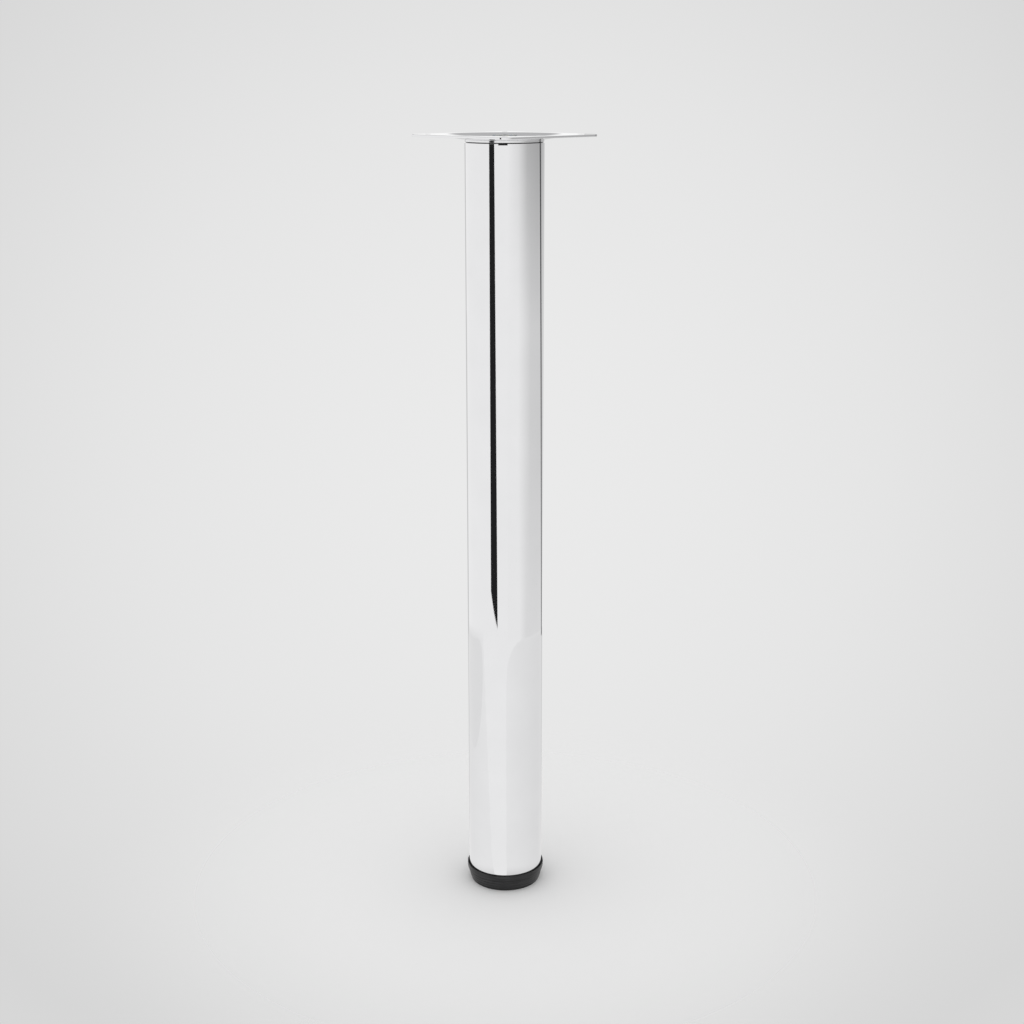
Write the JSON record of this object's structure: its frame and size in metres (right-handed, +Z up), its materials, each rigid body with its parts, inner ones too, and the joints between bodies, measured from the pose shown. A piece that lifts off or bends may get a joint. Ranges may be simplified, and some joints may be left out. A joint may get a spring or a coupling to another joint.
{
  "type": "height adjustable table leg",
  "caption": "Round chromed table leg with a square pressed mounting plate on top and a black screw-adjusted levelling foot on a swivelling floor glide.",
  "frame": {"origin": "middle of the floor glide's underside, on the floor, with the foot screwed fully in", "axes": "+Z up along the tube's axis, X and Y along the mounting plate's sides"},
  "size_m": [0.12, 0.12, 0.71],
  "materials": {
    "chromed_tube": "bright chrome plating on polished steel tube",
    "chromed_plate": "bright chrome plating on pressed steel sheet",
    "chromed_casting": "bright chrome plating on a die casting",
    "zinc_plated_steel": "bright zinc plating",
    "black_plug": "moulded black plastic",
    "black_foot": "moulded black plastic with turned grip rings",
    "black_glide": "moulded black plastic, waxy"
  },
  "bodies": {
    "glide": {"floor_glide": "black_glide"},
    "foot": {"foot": "black_foot", "foot_spindle": "zinc_plated_steel"},
    "leg": {"leg_tube": "chromed_tube", "mounting_plate": "chromed_plate", "plate_bolt": "zinc_plated_steel", "top_plug": "chromed_casting", "bottom_plug": "black_plug", "plug_nut": "zinc_plated_steel"}
  },
  "joints": [
    {"name": "foot_turn", "type": "hinge", "parent": "glide", "child": "foot", "pos_m": [0, 0, 0.0026], "axis": [0, 0, -1], "range_deg": [0, 4114.3]},
    {"name": "leg_raise", "type": "slide", "parent": "glide", "child": "leg", "axis": [0, 0, 1], "range_m": [0, 0.02]}
  ],
  "couplings": [
    {"joint": "foot_turn", "follows": "leg_raise", "rad_per_m": 3590.4}
  ]
}
